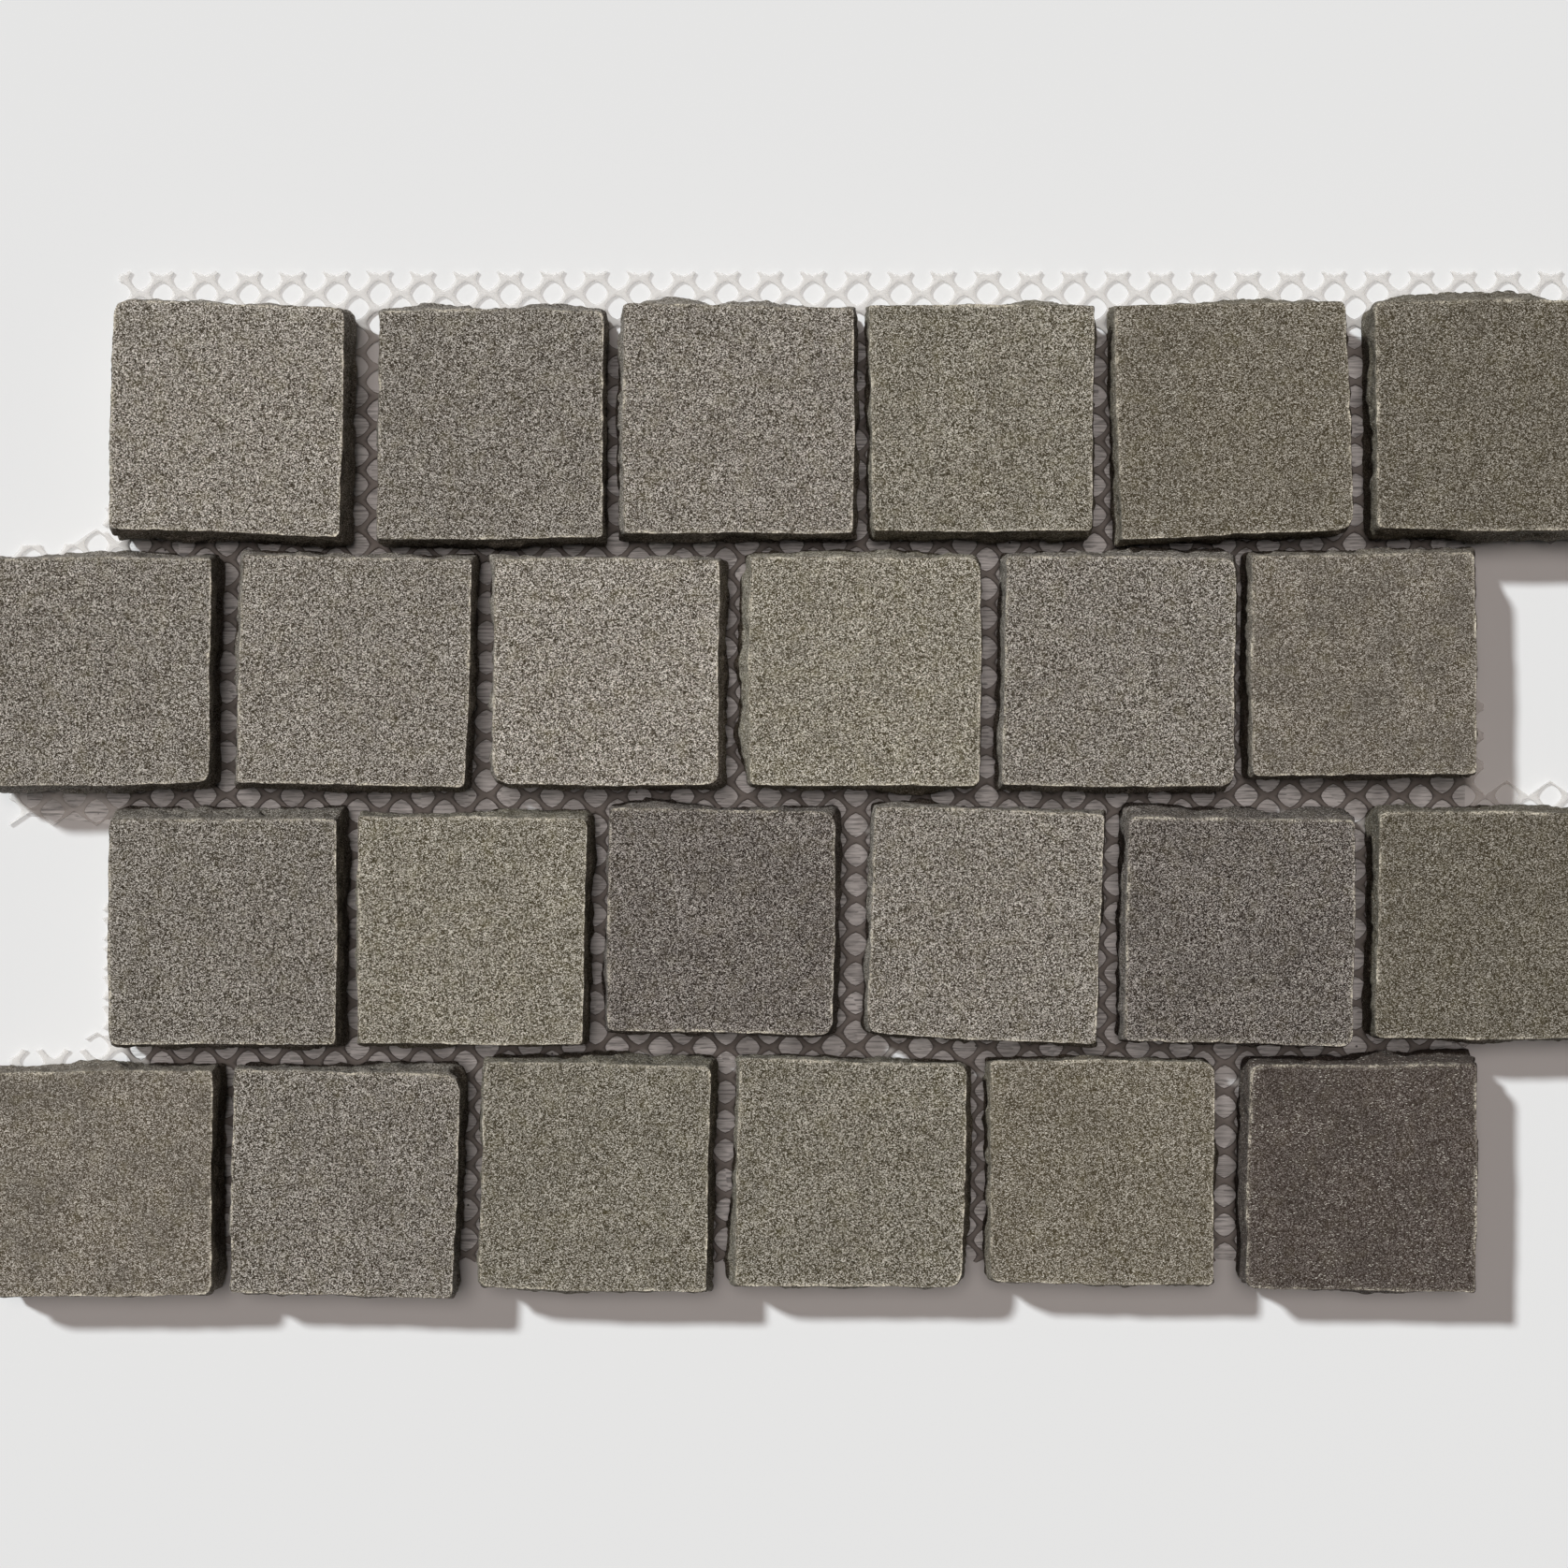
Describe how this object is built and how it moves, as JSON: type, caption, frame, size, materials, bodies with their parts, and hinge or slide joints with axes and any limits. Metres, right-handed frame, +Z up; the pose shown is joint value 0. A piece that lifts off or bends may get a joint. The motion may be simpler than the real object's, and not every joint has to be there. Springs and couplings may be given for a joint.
{
  "type": "granite cobblestone sheet",
  "caption": "Flat paving sheet of hand-split granite cobbles in running bond, glued on a plastic backing net so that it is laid as one piece and interlocks with the next.",
  "frame": {"origin": "middle of the laying module, on the underside of the sheet", "axes": "+X along the courses, +Y across them towards course 1, +Z up through the stones"},
  "size_m": [0.646, 0.4125, 0.0315],
  "materials": {
    "granite": "flamed top, split sides",
    "net_plastic": "milky extruded",
    "glue": "brushed thin film"
  },
  "bodies": {
    "root": {"cobble_1_1": "granite", "cobble_1_2": "granite", "cobble_1_3": "granite", "cobble_1_4": "granite", "cobble_1_5": "granite", "cobble_1_6": "granite", "cobble_2_1": "granite", "cobble_2_2": "granite", "cobble_2_3": "granite", "cobble_2_4": "granite", "cobble_2_5": "granite", "cobble_2_6": "granite", "cobble_3_1": "granite", "cobble_3_2": "granite", "cobble_3_3": "granite", "cobble_3_4": "granite", "cobble_3_5": "granite", "cobble_3_6": "granite", "cobble_4_1": "granite", "cobble_4_2": "granite", "cobble_4_3": "granite", "cobble_4_4": "granite", "cobble_4_5": "granite", "cobble_4_6": "granite", "net_course_1_left": "net_plastic", "net_course_1_right": "net_plastic", "net_course_2_left": "net_plastic", "net_course_2_right": "net_plastic", "net_course_3_left": "net_plastic", "net_course_3_right": "net_plastic", "net_course_4_left": "net_plastic", "net_course_4_right": "net_plastic", "glue_film": "glue"}
  },
  "joints": []
}
